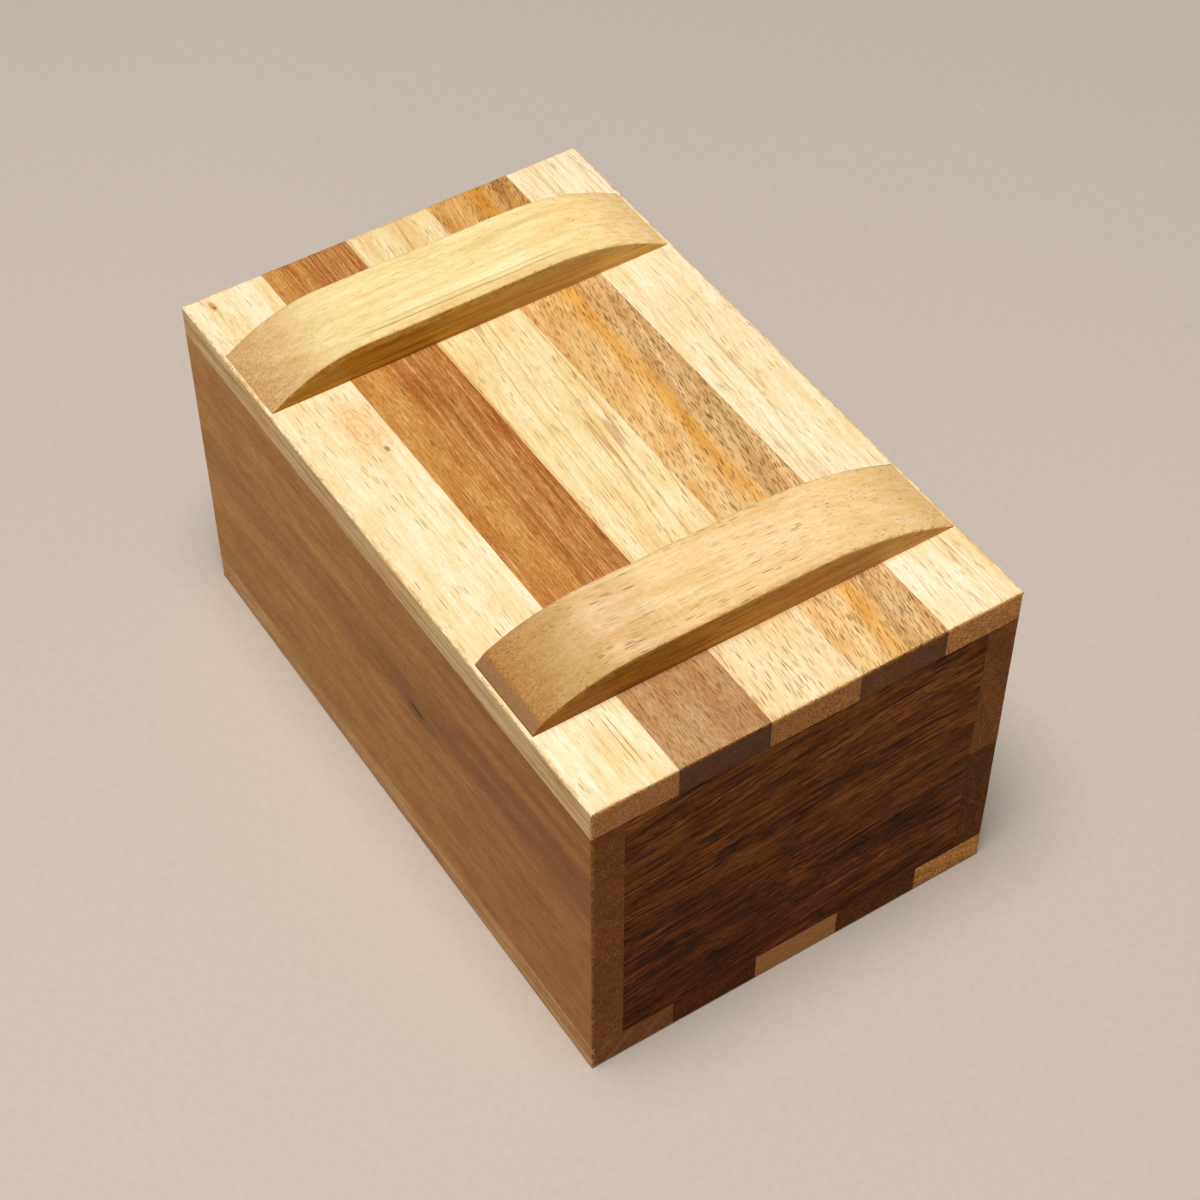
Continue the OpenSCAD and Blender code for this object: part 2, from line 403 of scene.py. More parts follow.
def strip_1_marks(g, grain, shade):
    """A small swirling knot by the joint, a speck near the rear corner and a pair of fine lines."""
    swirl = g.noise(g.join(g.times(grain.x, 0.22), g.times(grain.y, 0.55), 3.1), 2.0, 0.6)
    away_x = g.plus(g.times(g.math("SUBTRACT", grain.x, KNOT_X), 0.20), g.times(swirl, 1.1))
    away_y = g.plus(g.times(g.math("SUBTRACT", grain.y, KNOT_Y), 0.42), g.times(swirl, 1.1))
    radius = g.math("SQRT", squares(g, away_x, away_y))
    top = g.step(grain.z, 68.0, 68.3)
    broken = g.step(g.noise(g.join(g.times(grain.x, 0.9), g.times(grain.y, 1.4), 6.0), 2.0), 0.42, 0.62)
    whorl = g.times(g.step(g.math("SINE", g.times(radius, 16.0)), 0.2, 0.9), broken)
    knot = g.times(g.times(g.step(radius, 1.75, 0.85), top), whorl)
    shade = g.mix(g.times(knot, 0.40), shade, colour("#b87a34"))
    halo = g.times(g.step(radius, 2.2, 0.6), top)
    shade = g.mix(g.times(halo, 0.45), shade, colour("#e8b066"))
    shade = spot(g, grain, shade, -15.9, -27.4, 0.9, 0.45, "#8a5a30", 0.75)
    shade = spot(g, grain, shade, -62.0, -35.4, 1.6, 0.8, "#d69a4a", 0.7)
    shade = spot(g, grain, shade, -61.6, -35.3, 0.6, 0.3, "#7a5530", 0.8)
    for across in (-29.0, -28.1):
        shade = line(g, grain, shade, across, 49.0, 62.0, 0.16, "#9b6c3c", 0.6)
    edge = g.step(grain.side_facing, 0.7, 0.95)
    return g.mix(g.times(edge, 0.85), shade, side_band(g, grain))


def side_band(g, grain):
    """The lid's long side edge: greyer, with olive streaks."""
    return g.ramp(grain.streaks(22.0, 0.8, 3.0, 0.65, 2.0),
                  ((0.30, "#b18a4e"), (0.45, "#e0b97a"), (0.58, "#f5d39a"), (0.72, "#ffe8b6")))


def spot(g, grain, shade, x, y, length, width, code, strength):
    """An oval mark on a face that looks up."""
    a = g.times(g.math("SUBTRACT", grain.x, x), 1 / length)
    b = g.times(g.math("SUBTRACT", grain.y, y), 1 / width)
    inside = g.step(squares(g, a, b), 1.0, 0.15)
    return g.mix(g.times(inside, strength), shade, colour(code))


def line(g, grain, shade, across, start, end, half_width, code, strength):
    """A thin line along the grain between two places."""
    on = g.times(g.near(grain.y, across, 0.2 * half_width, half_width),
                 g.times(g.step(grain.x, start, start + 3.0), g.step(grain.x, end, end - 3.0)))
    return g.mix(g.times(on, strength), shade, colour(code))


def strip_2_marks(g, grain, shade):
    """Golden along the left joint, redder towards the right; duller at the front."""
    wave = g.times(grain.streaks(70.0, 9.0, 2.0, 0.5, 4.0), 9.0)
    left = g.step(g.plus(grain.y, wave), -9.5, -15.5)
    shade = g.mix(g.times(left, 0.6), shade, colour("#d09c52"))
    red = g.step(grain.streaks(50.0, 3.0, 2.0, 0.5, 15.0), 0.47, 0.62)
    shade = g.mix(g.times(red, 0.4), shade, colour("#a85c26"))
    pale = g.step(grain.streaks(20.0, 0.26, 1.0, 0.5, 21.0), 0.58, 0.68)
    shade = g.mix(g.times(pale, 0.6), shade, colour("#eabb78"))
    front = g.step(grain.x, 34.0, 47.0)
    shade = g.mix(g.times(front, 0.6), shade, colour("#c1a37e"))
    short = g.times(grain.pores(3.6, 0.36, 0.34, 0.85, 25.0), front)
    return g.mix(g.times(short, 0.75), shade, colour("#6a4020"))


def strip_3_marks(g, grain, shade):
    """Thin wavy brown lines, a golden line along the left joint, and a paler, dashed front."""
    field = grain.streaks(110.0, 3.4, 1.0, 0.5, 31.0)
    thin = g.times(g.step(field, 0.565, 0.58), g.step(field, 0.605, 0.59))
    shade = g.mix(g.times(thin, 0.5), shade, colour("#b07c44"))
    warm = g.step(grain.streaks(60.0, 3.0, 1.0, 0.5, 33.0), 0.5, 0.7)
    shade = g.mix(g.times(warm, 0.35), shade, colour("#e8b774"))
    joint = g.near(grain.y, -7.7, 0.1, 0.5)
    shade = g.mix(g.times(joint, 0.5), shade, colour("#d9a14e"))
    front = g.step(grain.x, 40.0, 52.0)
    short = g.times(grain.pores(4.0, 0.36, 0.35, 0.85, 35.0), front)
    shade = g.mix(g.times(front, 0.4), shade, colour("#fbe8c8"))
    return g.mix(g.times(short, 0.8), shade, colour("#84552a"))


def strip_4_marks(g, grain, shade):
    """A golden band past the middle and a grey-brown side, thick with dark pores."""
    wave = g.noise(g.join(g.times(grain.x, 1 / 30), 0.0, 0.0), 1.0)
    drift = g.scaled_sum((wave, 3.0), (grain.x, -0.012))
    across = g.math("SUBTRACT", grain.y, g.plus(drift, -1.5))
    band = g.near(across, 17.4, 0.3, 2.6)
    shade = g.mix(g.times(band, 0.54), shade, colour("#e09e18"))
    short = g.math("MINIMUM", g.times(grain.pores(3.0, 0.28, 0.36, 0.95, 45.0), 1.4), 1.0)
    shade = g.mix(g.times(short, 0.72), shade, colour("#70431c"))
    grey = g.step(across, 18.2, 19.8)
    tone = g.ramp(grain.streaks(50.0, 1.2, 3.0, 0.6, 43.0),
                  ((0.3, "#bc9260"), (0.5, "#e0b880"), (0.7, "#f0ce9a")))
    shade = g.mix(g.times(grey, 0.88), shade, tone)
    dense = g.math("MINIMUM", g.times(grain.pores(2.5, 0.27, 0.42, 1.0, 47.0), 1.5), 1.0)
    shade = g.mix(g.times(g.times(dense, grey), 0.8), shade, colour("#6e4c28"))
    ash = g.times(grey, g.step(grain.streaks(60.0, 2.0, 1.0, 0.5, 49.0), 0.52, 0.66))
    shade = g.mix(g.times(ash, 0.15), shade, colour("#866a48"))
    behind = g.step(grain.x, -48.0, -56.0)
    return tinted(g, behind, shade, "#f2e3ca")


def strip_5_marks(g, grain, shade):
    """A few pinkish brown streak lines."""
    field = grain.streaks(80.0, 2.6, 1.0, 0.5, 51.0)
    thin = g.times(g.step(field, 0.565, 0.58), g.step(field, 0.61, 0.59))
    return g.mix(g.times(thin, 0.3), shade, colour("#b8824e"))


def rear_batten_marks(g, grain, shade):
    """Two thin brown lines near the front top edge, a duller left end and a pale right one."""
    for across, strength in ((-34.6, 0.55), (-35.7, 0.35)):
        wave = g.plus(grain.x, g.times(g.noise(g.join(g.times(grain.y, 1 / 18), 0.0, 0.0), 1.0), 1.2))
        on = g.times(g.near(wave, across, 0.05, 0.22), g.step(g.math("ABSOLUTE", grain.y), 24.0, 16.0))
        shade = g.mix(g.times(on, strength), shade, colour("#8a5c30"))
    shade = pale_right_end(g, grain, shade, 0.7)
    left_end = g.step(grain.y, -16.0, -28.0)
    shade = tinted(g, left_end, shade, "#f2efed")
    # painted shade on the upright long faces
    return painted_shade_on_sides(g, grain, shade)


def pale_right_end(g, grain, shade, share):
    """A batten's right end is paler than the end grain elsewhere, with soft fibres."""
    right_end = g.step(grain.y, 13.0, 30.0)
    pale = g.ramp(grain.streaks(14.0, 0.8, 2.0, 0.55, 87.0),
                  ((0.34, "#f4c87e"), (0.5, "#ffdd98"), (0.66, "#ffebb6")))
    return g.mix(g.times(right_end, share), shade, pale)


def painted_shade_on_sides(g, grain, shade):
    """Painted shade: a batten's upright long faces are multiplied by a deeper amber than its top, less
    so to the right, so they look less lit.
    """
    # painted shade: mask of the upright long faces, weaker towards the right
    sides = g.step(grain.side_facing, 0.75, 0.95)
    sides = g.times(sides, g.scaled_sum((1.0, 1.0), (g.step(grain.y, -8.0, 22.0), -0.22)))
    # painted shade colour: a streaky deeper amber multiplied over the wood
    painted_shade_tint = g.ramp(grain.streaks(30.0, 0.9, 3.0, 0.6, 81.0),
                   ((0.35, "#a88238"), (0.5, "#c69b46"), (0.65, "#dab25a")))
    return g.mix(sides, shade, g.mix(1.0, shade, painted_shade_tint, "MULTIPLY"))


def front_batten_marks(g, grain, shade):
    """Faint cross-grain sanding marks, a browner left end with a darker facet, a pale right end."""
    cross = g.noise(g.join(g.times(grain.x, 1 / 9), g.times(grain.y, 1 / 0.4), 2.0), 1.0)
    zone = g.step(g.noise(g.join(g.times(grain.x, 0.12), g.times(grain.y, 0.12), 9.0), 1.0), 0.42, 0.62)
    top = g.step(grain.z, 73.5, 74.8)
    scratched = g.times(g.times(g.step(cross, 0.50, 0.64), zone), top)
    shade = g.mix(g.times(scratched, 0.3), shade, colour("#f6e0b4"))
    frayed = g.times(g.noise(g.join(g.times(grain.x, 0.8), g.times(grain.y, 0.3), 4.0), 3.0, 0.7), 4.0)
    dulled = g.step(grain.y, -8.0, -19.0)
    shade = tinted(g, dulled, shade, "#f0eceb")
    left_end = g.step(g.plus(grain.y, frayed), -20.0, -24.5)
    shade = tinted(g, g.times(left_end, 0.8), shade, "#e2d8be")
    shade = pale_right_end(g, grain, shade, 0.45)
    facet = g.times(g.step(grain.end_facing, 0.60, 0.68), g.step(grain.y, -36.5, -37.0))
    shade = g.mix(g.times(facet, 0.7), shade, colour("#957050"))
    # painted shade on the upright long faces
    return painted_shade_on_sides(g, grain, shade)


def left_side_marks(g, grain, shade):
    """A darker slanting band, lighter below it, painted light towards the rear top and painted shade
    towards the front, and a short crack in a stain.
    """
    slope = g.scaled_sum((grain.z, 1.0), (grain.x, -0.09))
    wave = g.plus(slope, g.times(grain.streaks(70.0, 8.0, 2.0, 0.5, 61.0), 10.0))
    band = g.near(wave, 46.0, 1.5, 9.0)
    shade = g.mix(g.times(band, 0.5), shade, colour("#8a5422"))
    low = g.step(wave, 40.0, 28.0)
    shade = g.mix(g.times(low, 0.5), shade, colour("#c68e3e"))
    # painted light: the upper rear of the wall is lifted towards a paler gold
    pale = g.times(g.step(grain.x, 20.0, -55.0), g.step(grain.z, 8.0, 36.0))
    shade = g.mix(g.times(pale, 0.38), shade, colour("#f0b55e"))
    # painted shade: the wall darkens towards the front
    shade = tinted(g, g.step(grain.x, 0.0, 62.0), shade, "#efe6d4")
    a = g.math("SUBTRACT", grain.x, CRACK_X)
    b = g.math("SUBTRACT", g.plus(grain.z, g.times(a, 0.12)), CRACK_Z)
    stain = g.step(squares(g, g.times(a, 1 / STAIN_LENGTH), g.times(b, 1 / STAIN_WIDTH)), 1.0, 0.0)
    shade = g.mix(g.times(stain, 0.4), shade, colour("#7a4e2a"))
    crack = g.step(squares(g, g.times(a, 1 / CRACK_LENGTH), g.times(b, 1 / CRACK_WIDTH)), 1.0, 0.3)
    return g.mix(g.times(crack, 0.9), shade, colour("#2c1a10"))


def end_board_marks(g, grain, shade):
    """Long black and golden streaks, with painted shade that makes it browner low down and towards the
    left side, and painted light that makes it more golden near the top.
    """
    gold = g.step(grain.streaks(60.0, 6.0, 2.0, 0.5, 73.0), 0.48, 0.66)
    shade = g.mix(g.times(gold, 0.50), shade, colour("#97601c"))
    broad = g.step(grain.streaks(45.0, 6.0, 2.0, 0.5, 75.0), 0.52, 0.68)
    shade = g.mix(g.times(broad, 0.45), shade, colour("#2a1204"))
    # painted shade: darker and browner low down and towards the left side
    low = g.times(g.step(grain.z, 40.0, 14.0), g.step(grain.y, 34.0, -12.0))
    shade = tinted(g, g.times(low, 0.8), shade, "#b89880")
    # painted light: more golden near the top
    high = g.step(grain.z, 34.0, 56.0)
    shade = g.mix(g.times(high, 0.25), shade, colour("#a46c28"))
    dark = g.step(grain.streaks(9.0, 0.42, 3.0, 0.6, 71.0), 0.52, 0.60)
    return g.mix(g.times(dark, 0.8), shade, colour("#1e0c02"))


# ---------------------------------------------------------------- boards in mesh code

FINE = (0.0, 0.10, 0.22, 0.36, 0.55, 0.8)  # distances of the closely set lines from a board's edge
OUTER_RADIUS, SEAM_RADIUS, JOINT_RADIUS = 0.42, 0.14, 0.05
ALONG_SPACING, FACE_SPACING = 0.9, 3.2
SAG_DEPTH, SAG_START = 0.035, 2
ON_FACE = 0.001
CREASE = math.radians(38)


def ladder(low, high, spacing):
    """Stations from low to high in millimetres, close together near both ends."""
    near_low = [low + step for step in FINE]
    near_high = [high - step for step in reversed(FINE)]
    inner = near_high[0] - near_low[-1]
    count = max(1, round(inner / spacing))
    middle = [near_low[-1] + inner * i / count for i in range(1, count)]
    return np.array(near_low + middle + near_high)


def surface_lattice(stations):
    """Points and faces of a box's surface, with lines at the stations of each axis."""
    counts = [len(s) for s in stations]
    index = {}
    points, keys, faces = [], [], []

    def point(key):
        if key not in index:
            index[key] = len(points)
            points.append([stations[axis][key[axis]] for axis in range(3)])
            keys.append(key)
        return index[key]

    for axis in range(3):
        a, b = (axis + 1) % 3, (axis + 2) % 3
        for end in (0, counts[axis] - 1):
            for i in range(counts[a] - 1):
                for j in range(counts[b] - 1):
                    corners = []
                    for di, dj in ((0, 0), (1, 0), (1, 1), (0, 1)):
                        key = [0, 0, 0]
                        key[axis], key[a], key[b] = end, i + di, j + dj
                        corners.append(point(tuple(key)))
                    faces.append(corners if end else corners[::-1])
    return np.array(points), np.array(keys), faces


def on_outside(axis, side, value):
    """Whether a board's face lies in the whole box's outer face."""
    limit = (OUTSIDE_LOW, LID_TOP)[side][axis] / MM
    return abs(value - limit) < FLUSH


def edge_radius(axes, sides, low, high):
    """How round an edge between two faces is: outer corner, rim that meets the lid, or glued joint."""
    limits = (low, high)
    outside = [on_outside(axis, side, limits[side][axis]) for axis, side in zip(axes, sides)]
    rims = [axis == 2 and abs(limits[side][2] - LID_UNDERSIDE) < FLUSH
            for axis, side in zip(axes, sides)]
    if all(outside):
        return OUTER_RADIUS
    if any(rims):
        return SEAM_RADIUS
    return JOINT_RADIUS


def ragged(radius, places, seed):
    """The radius along an edge, with small chips here and there."""
    out = []
    for place in places:
        slow = noise.noise(Vector((place / 9, seed, 0.3)))
        chip = max(0.0, noise.noise(Vector((place / 2.3, seed, 7.7))) - 0.42)
        out.append(radius * (1 + 0.35 * slow) + (0.9 * chip * radius if radius > JOINT_RADIUS else 0))
    return np.minimum(np.array(out), FINE[-1])


def round_edges(points, keys, stations, low, high, seed):
    """Rounds all twelve edges, inward only. Returns the points and how worn each one is."""
    points = points.copy()
    worn = np.zeros(len(points))
    for a, b in ((0, 1), (0, 2), (1, 2)):
        along = 3 - a - b
        for side_a in (0, 1):
            for side_b in (0, 1):
                radius = edge_radius((a, b), (side_a, side_b), low, high)
                edge_seed = seed * 12.7 + along * 4.1 + side_a * 2.3 + side_b * 1.1
                r = ragged(radius, stations[along], edge_seed)[keys[:, along]]
                sign_a, sign_b = (1 - 2 * side_a), (1 - 2 * side_b)
                face_a, face_b = (low, high)[side_a][a], (low, high)[side_b][b]
                da = (points[:, a] - face_a) * sign_a
                db = (points[:, b] - face_b) * sign_b
                hit = (da < r) & (db < r)
                va, vb = da - r, db - r
                size = np.maximum(np.hypot(va, vb), 1e-9)
                new_a, new_b = r + va * r / size, r + vb * r / size
                points[hit, a] = (face_a + sign_a * new_a)[hit]
                points[hit, b] = (face_b + sign_b * new_b)[hit]
                if radius == OUTER_RADIUS:
                    closeness = np.clip(1.6 - np.maximum(da, db) / r, 0, 1)
                    worn = np.maximum(worn, np.where((da < 2 * r) & (db < 2 * r), closeness, 0))
    return points, worn


def sag(points, low, high, seed):
    """Very slight hollows in the faces, as sanding leaves them. Rims stay where they are."""
    for p in points:
        rim = [min(p[axis] - low[axis], high[axis] - p[axis]) for axis in range(3)]
        face = int(np.argmin(rim))
        from_rim = min(rim[axis] for axis in range(3) if axis != face)
        if rim[face] > ON_FACE or from_rim < FINE[-1]:
            continue
        wave = 0.5 + 0.5 * noise.noise(Vector((p[0] / 16 + seed, p[1] / 7, p[2] / 7)))
        sign = 1 if abs(p[face] - low[face]) < abs(p[face] - high[face]) else -1
        p[face] += sign * SAG_DEPTH * wave * min(1.0, (from_rim - FINE[-1]) / SAG_START)
    return points


def make_object(name, points, faces, worn, material):
    """A mesh object from points in millimetres, smooth except at creases."""
    mesh = bpy.data.meshes.new(name)
    mesh.from_pydata([tuple(p) for p in np.asarray(points) * MM], [], faces)
    mesh.polygons.foreach_set("use_smooth", [True] * len(mesh.polygons))
    mesh.set_sharp_from_angle(angle=CREASE)
    layer = mesh.attributes.new("worn", "FLOAT", "POINT")
    layer.data.foreach_set("value", np.asarray(worn, dtype=np.float32))
    mesh.materials.append(material)
    piece = bpy.data.objects.new(name, mesh)
    bpy.context.scene.collection.objects.link(piece)
    return piece


def stand_in(piece, node):
    """The piece replaces its CAD node and moves with the same body."""
    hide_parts(node)
    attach(piece, BODY[node])
    return piece


def board(node, along_axis, seed, material):
    """A board with eased, slightly worn edges, in the place of its CAD node."""
    low, high = (np.array(corner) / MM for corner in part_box(node))
    stations = [ladder(low[axis], high[axis], ALONG_SPACING if axis == along_axis else FACE_SPACING)
                for axis in range(3)]
    points, keys, faces = surface_lattice(stations)
    points, worn = round_edges(points, keys, stations, low, high, seed)
    points = sag(points, low, high, seed)
    return stand_in(make_object(node + "_wood", points, faces, worn, material), node)


# ---------------------------------------------------------------- battens in mesh code

BATTEN_EASE = 0.45
TIP_FACE = 0.6  # height at which the 45 degree cut meets the tip's upright face
TIP_STEPS = (0.0, 0.12, 0.3, 0.55, 0.85, 1.2, 1.6, 1.76, 2.0, 2.5, 3.2)
BATTEN_SPACING = 0.8
SIDE_SHARES = (0.0, 0.3, 0.65)
TOP_SHARES = (0.03, 0.12, 0.24, 0.37, 0.5, 0.63, 0.76, 0.88, 0.97)
# Where each arch starts along Y, and its radius: left end, then right end.
FRONT_ARCH = ((-19.5, 40.0), (12.0, 62.0))
REAR_ARCH = ((-20.5, 31.0), (16.0, 45.0))


def arch_height(y, tip_low, tip_high, full, arches):
    """Height of a batten's top above the lid: flat, an arc at each end, a 45 degree cut at each tip."""
    (left, left_radius), (right, right_radius) = arches
    height = full
    if y < left:
        height = full - left_radius + math.sqrt(left_radius ** 2 - (y - left) ** 2)
    if y > right:
        height = full - right_radius + math.sqrt(right_radius ** 2 - (y - right) ** 2)
    return min(height, TIP_FACE + min(y - tip_low, tip_high - y))


def batten_stations(low, high):
    """Stations along a batten, close together at its tips, where the outline turns quickly."""
    inner_low, inner_high = low + TIP_STEPS[-1], high - TIP_STEPS[-1]
    count = round((inner_high - inner_low) / BATTEN_SPACING)
    middle = [inner_low + (inner_high - inner_low) * i / count for i in range(1, count)]
    return [low + f for f in TIP_STEPS] + middle + [high - f for f in reversed(TIP_STEPS)]


def batten_ring(x_low, x_high, height, ease_front, ease_rear):
    """The outline of one cut across a batten, from the rear bottom edge over the top."""
    ease_front, ease_rear = min(ease_front, 0.45 * height), min(ease_rear, 0.45 * height)
    quarter = [math.radians(a) for a in (0, 22.5, 45, 67.5, 90)]
    width = x_high - x_low - ease_front - ease_rear
    rear_side = [(x_low, share * (height - ease_rear)) for share in SIDE_SHARES]
    rear_edge = [(x_low + ease_rear * (1 - math.cos(a)), height - ease_rear * (1 - math.sin(a)))
                 for a in quarter]
    top = [(x_low + ease_rear + share * width, height) for share in TOP_SHARES]
    front_edge = [(x_high - ease_front * (1 - math.cos(a)), height - ease_front * (1 - math.sin(a)))
                  for a in reversed(quarter)]
    front_side = [(x_high, share * (height - ease_front)) for share in reversed(SIDE_SHARES)]
    return rear_side + rear_edge + top + front_edge + front_side


def batten_ease(y, seed):
    """How round a batten's long top edge is at y, with small chips."""
    slow = noise.noise(Vector((y / 8, seed, 2.2)))
    chip = max(0.0, noise.noise(Vector((y / 1.5, seed, 5.5))) - 0.3)
    return BATTEN_EASE * (1 + 0.35 * slow + 0.9 * chip)


def loft(ring_count, size):
    """Faces that join rings of that many points one after another, and close both ends."""
    faces = []
    for i in range(ring_count - 1):
        for j in range(size):
            k = (j + 1) % size
            faces.append((i * size + j, i * size + k, (i + 1) * size + k, (i + 1) * size + j))
    faces.append(tuple(reversed(range(size))))
    last = (ring_count - 1) * size
    faces.append(tuple(range(last, last + size)))
    return faces


def batten(node, arches, seed, material):
    """An arched batten, lofted along its length, in the place of its CAD node."""
    low, high = (np.array(corner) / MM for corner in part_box(node))
    full = high[2] - low[2]
    points, worn = [], []
    stations = batten_stations(low[1], high[1])
    for y in stations:
        height = arch_height(y, low[1], high[1], full, arches)
        ring = batten_ring(low[0], high[0], height, batten_ease(y, seed), batten_ease(y, seed + 1))
        for x, z in ring:
            dip = 0.02 * (1 + noise.noise(Vector((x / 6, y / 11, seed)))) if 0 < z else 0.0
            points.append((x, y, low[2] + z - min(dip, 0.2 * z)))
            edge_gap = min(x - low[0], high[0] - x)
            worn.append(max(0.0, 1 - edge_gap / 0.8) * (1.0 if z > 0.75 * height else 0.0))
    faces = loft(len(stations), len(ring))
    return stand_in(make_object(node + "_wood", points, faces, worn, material), node)


# ---------------------------------------------------------------- lock parts kept from the CAD

def soften(node, width, angle=30.0):
    """Eases the sharp edges of a CAD node. Its own mesh stays as packed."""
    piece = frame["nodes"][node]
    weld = piece.modifiers.new("weld", "WELD")
    weld.merge_threshold = 0.005 * MM
    ease = piece.modifiers.new("ease", "BEVEL")
    ease.width = width * MM
    ease.segments = 3
    ease.limit_method = "ANGLE"
    ease.angle_limit = math.radians(angle)
    ease.harden_normals = True
    return piece


def paint(piece, material):
    """Gives a CAD node's own mesh a material."""
    piece.data.materials.clear()
    piece.data.materials.append(material)


def turned_steel(name):
    """Bright steel with fine marks round the pin's axis."""
    g = Graph(name)
    x, y, z = g.place()
    z = g.math("SUBTRACT", z, PIN_LEVEL)
    radius = g.math("SQRT", g.plus(g.times(y, y), g.times(z, z)))
    marks = g.noise(g.join(g.times(x, 9.0), g.times(radius, 9.0), 0.0), 2.0, 0.6)
    smudge = g.noise(g.join(g.times(x, 0.5), g.times(y, 0.5), g.times(z, 0.5)), 2.0, 0.6)
    shade = g.ramp(marks, ((0.3, "#a9a8a5"), (0.7, "#c9c9c6")))
    shade = g.mix(g.step(smudge, 0.5, 0.8), shade, colour("#a39c90"))
    roughness = g.scaled_sum((marks, 0.22), (smudge, 0.2), (1.0, 0.12))
    return g.finish(shade, roughness, marks, 0.01, Metallic=1.0)


# ---------------------------------------------------------------- the object

LID_TOP = np.array([OUTSIDE_HIGH[0], OUTSIDE_HIGH[1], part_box("lid_strip_3")[1][2]])
LID_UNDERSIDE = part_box("lid_strip_3")[0][2] / MM
PIN_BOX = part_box("front_lock_pin")
PIN_LEVEL = (PIN_BOX[0][2] + PIN_BOX[1][2]) / 2 / MM


def lid_strip_kinds():
    """The timber and the marks of each lid strip, from the left side to the right."""
    warmer_cream = ((0.0, "#d8ae6a"), (0.25, "#e8cb90"), (0.55, "#f0dca9"), (1.0, "#f7ecc6"))
    lighter_gold = ((0.0, "#cc9246"), (0.4, "#e6bb7a"), (0.7, "#f1cf97"), (1.0, "#fae2b8"))
    third = cream(tilt=-0.07, pore_share=0.6, pore_clumps=0.5, wander=2.0, shades=warmer_cream)
    fourth = golden(tilt=-0.17, shades=lighter_gold, grit=0.35, pore_colour="#66401c",
                    fleck_colour="#8a5c2c", fleck_strength=0.5, fleck_share=0.3, low=0.34, high=0.66)
    fifth = cream(tilt=-0.03, wander=2.2, mottle=0.5, end_colour="#f2a638")
    return ((cream(pith=(0.0, -60.0)), strip_1_marks), (red_brown(tilt=-0.02), strip_2_marks),
            (third, strip_3_marks), (fourth, strip_4_marks), (fifth, strip_5_marks))


def rear_batten_kind():
    """Straw-coloured, with end grain that shows early on its slopes."""
    return straw(marks_on_ends=True, end_low=0.12, end_high=0.6, end_colour="#eac79a",
                 low=0.30, high=0.70, fleck_colour="#a57a3e")


def front_batten_kind():
    """A tan between golden and straw, with short dark pores in clumps."""
    return golden(shades=((0.0, "#d4aa72"), (0.4, "#eacb96"), (0.7, "#f4daac"), (1.0, "#fcebc8")),
                  mottle_colour="#f2deba", grit=0.45, grit_colour="#eedab4", end_speckle="#c9aa80",
                  marks_on_ends=True, end_low=0.10, end_high=0.55, end_colour="#dcb070",
                  pore_length=5.0, pore_width=0.32, pore_size=0.29, pore_share=0.7,
                  pore_strength=0.9, pore_clumps=0.6, pore_colour="#74491f", fleck_colour="#8e6030",
                  tilt=0.03, low=0.28, high=0.72, ring_width=3.5)


def build_lid():
    """Five strips side by side and the two battens across them."""
    for number, (kind, marks) in enumerate(lid_strip_kinds(), start=1):
        node = f"lid_strip_{number}"
        board(node, 0, number, timber(node, "XYZ", number, kind, marks))
    rear = timber("rear_batten", "YXZ", 6, rear_batten_kind(), rear_batten_marks)
    batten("rear_batten", REAR_ARCH, 6.0, rear)
    front = timber("front_batten", "YXZ", 7, front_batten_kind(), front_batten_marks)
    batten("front_batten", FRONT_ARCH, 7.0, front)


def build_bottom():
    """Five strips side by side, light and dark in turn."""
    kinds = (tan(end_colour="#9a6024"), dark_brown(end_colour="#754220"), straw(end_colour="#b47c32"),
             dark_brown(end_colour="#835428"), tan(end_colour="#fdbd62"))
    for number, kind in enumerate(kinds, start=1):
        node = f"bottom_strip_{number}"
        board(node, 0, 10 + number, timber(node, "XYZ", 10 + number, kind))


def build_walls():
    """The left side, the two boards of the right side and the two dark ends between them."""
    left = timber("left_side", "XZY", 21, mid_brown(tilt=0.06), left_side_marks)
    board("left_side_board", 0, 21, left)
    board("right_side_lower_board", 0, 22, timber("right_lower", "XZY", 22, dark_brown(tilt=0.03)))
    board("right_side_upper_board", 0, 23, timber("right_upper", "XZY", 23, mid_brown(tilt=-0.02)))
    front = timber("front_end", "YZX", 24, dark_brown(tilt=0.10, wander=3.0), end_board_marks)
    board("front_end_board", 1, 24, front)
    rear = timber("rear_end", "YZX", 25, dark_brown(tilt=-0.05, wander=3.0), end_board_marks)
    board("rear_end_board", 1, 25, rear)


def build_lock():
    """At each end a keeper bar, a lock block and a pin, whose shapes stay the CAD's own."""
    for number, end in enumerate(("front", "rear")):
        bar = timber(end + "_keeper", "YXZ", 31 + number, tan())
        paint(soften(end + "_keeper_bar", 0.3), bar)
        block = timber(end + "_block", "YXZ", 33 + number, tan(tilt=0.02))
        paint(soften(end + "_lock_block", 0.25), block)
        paint(soften(end + "_lock_pin", 0.12), turned_steel(end + "_pin"))


# ---------------------------------------------------------------- floor, light and camera

FLOOR_HALF_SIDE = 6.0
FLOOR_GAP = 0.05
CAMERA_AZIMUTH, CAMERA_ELEVATION = math.radians(57.089), math.radians(48.332)
CAMERA_PLACE = (257.232, -162.844, 371.646)
CAMERA_LENS, CAMERA_SENSOR = 78.77, 36.0


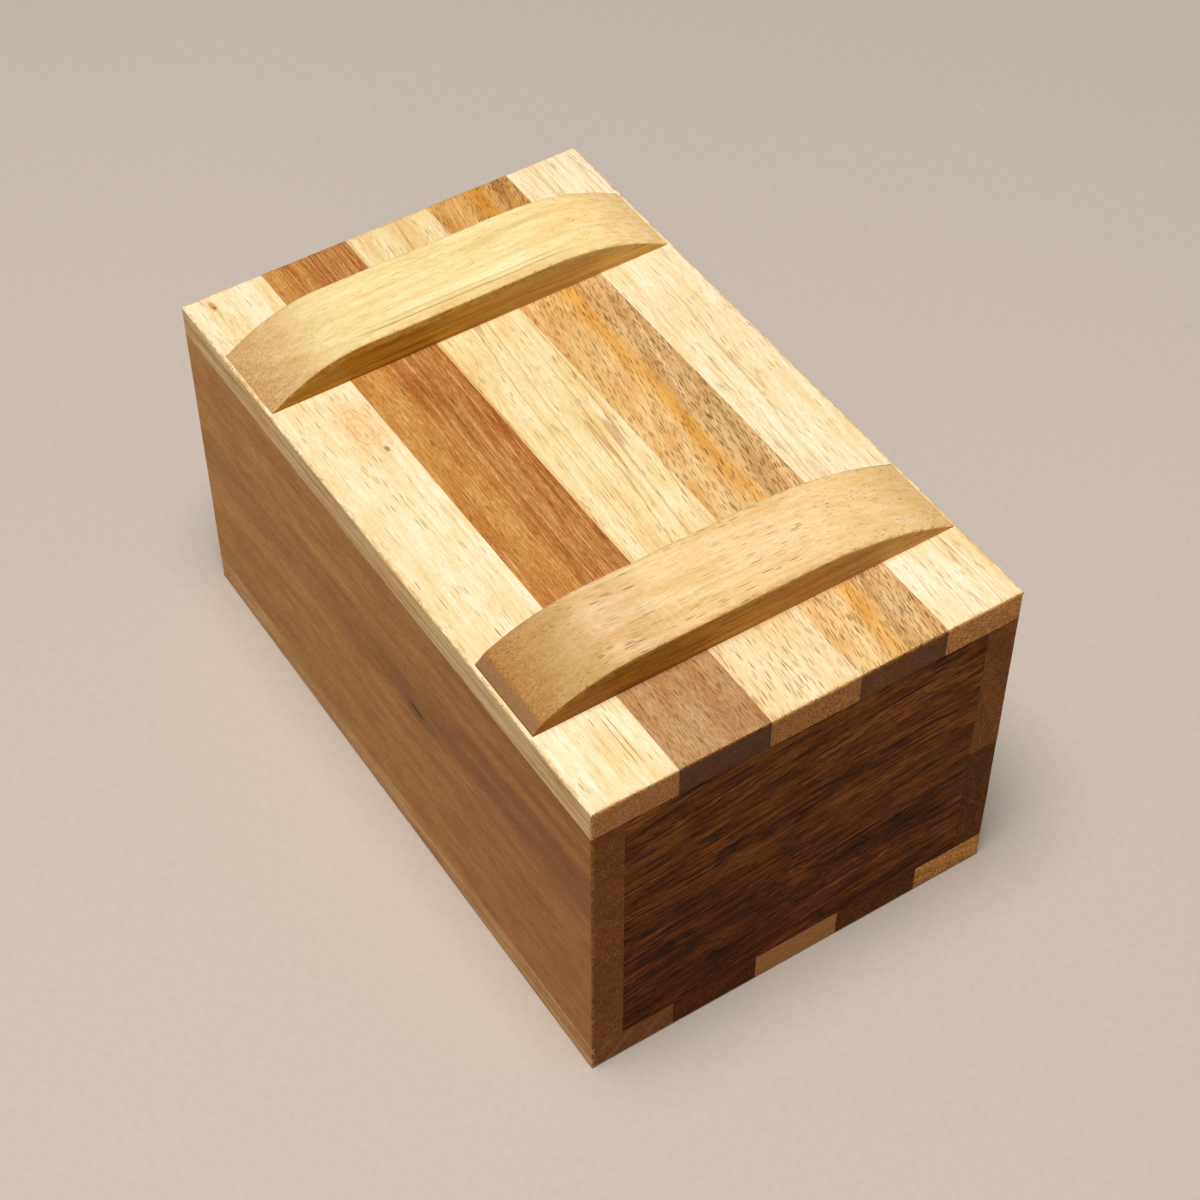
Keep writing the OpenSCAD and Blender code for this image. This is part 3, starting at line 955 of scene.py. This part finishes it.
def make_floor():
    """A plain pale floor, just under the box."""
    side = FLOOR_HALF_SIDE
    mesh = bpy.data.meshes.new("floor")
    corners = [(-side, -side, 0), (side, -side, 0), (side, side, 0), (-side, side, 0)]
    mesh.from_pydata(corners, [], [(0, 1, 2, 3)])
    g = Graph("floor")
    x, y, _ = g.place()
    tooth = g.noise(g.join(g.times(x, 0.8), g.times(y, 0.8), 0.0), 2.0)
    shade = g.ramp(tooth, ((0.3, "#c6bab0"), (0.7, "#cabfb5")))
    mesh.materials.append(g.finish(shade, g.scaled_sum((tooth, 0.1), (1.0, 0.8)), tooth, 0.02))
    floor = bpy.data.objects.new("floor", mesh)
    floor.location.z = -FLOOR_GAP * MM
    bpy.context.scene.collection.objects.link(floor)


def aim(obj, target):
    """Turns a light so that it shines at the target."""
    obj.rotation_mode = "QUATERNION"
    obj.rotation_quaternion = (Vector(target) - obj.location).to_track_quat("-Z", "Y")


def area_light(name, place, size, power, tint):
    """A soft round light that shines at the middle of the box."""
    light = bpy.data.lights.new(name, "AREA")
    light.shape = "DISK"
    light.size = size
    light.energy = power
    light.color = tint
    lamp = bpy.data.objects.new(name, light)
    lamp.location = place
    bpy.context.scene.collection.objects.link(lamp)
    aim(lamp, (0, 0, 0.03))


def make_light():
    """A wide key light above, a weak fill from the front left and a dim, even surround."""
    area_light("key", (0.10, -0.16, 1.10), 0.55, 12.5, (1.0, 0.975, 0.94))
    area_light("fill", (1.1, -1.0, 0.55), 0.9, 1.6, (1.0, 0.96, 0.90))
    world = bpy.data.worlds.new("studio")
    world.use_nodes = True
    background = world.node_tree.nodes["Background"]
    background.inputs["Color"].default_value = (0.93, 0.90, 0.87, 1.0)
    background.inputs["Strength"].default_value = 0.12
    bpy.context.scene.world = world
    bpy.context.scene.view_settings.view_transform = "Standard"


def make_camera():
    """Looks down over the front left corner, at the photograph's viewing angle and distance."""
    level = math.cos(CAMERA_ELEVATION)
    back = Vector((math.sin(CAMERA_AZIMUTH) * level, -math.cos(CAMERA_AZIMUTH) * level,
                   math.sin(CAMERA_ELEVATION)))
    lens = bpy.data.cameras.new("camera")
    lens.sensor_width = CAMERA_SENSOR
    lens.lens = CAMERA_LENS
    lens.clip_start = 0.01
    camera = bpy.data.objects.new("camera", lens)
    camera.location = Vector(CAMERA_PLACE) * MM
    camera.rotation_mode = "QUATERNION"
    camera.rotation_quaternion = (-back).to_track_quat("-Z", "Y")
    bpy.context.scene.collection.objects.link(camera)
    bpy.context.scene.camera = camera


build_lid()
build_bottom()
build_walls()
build_lock()
make_floor()
make_light()
make_camera()
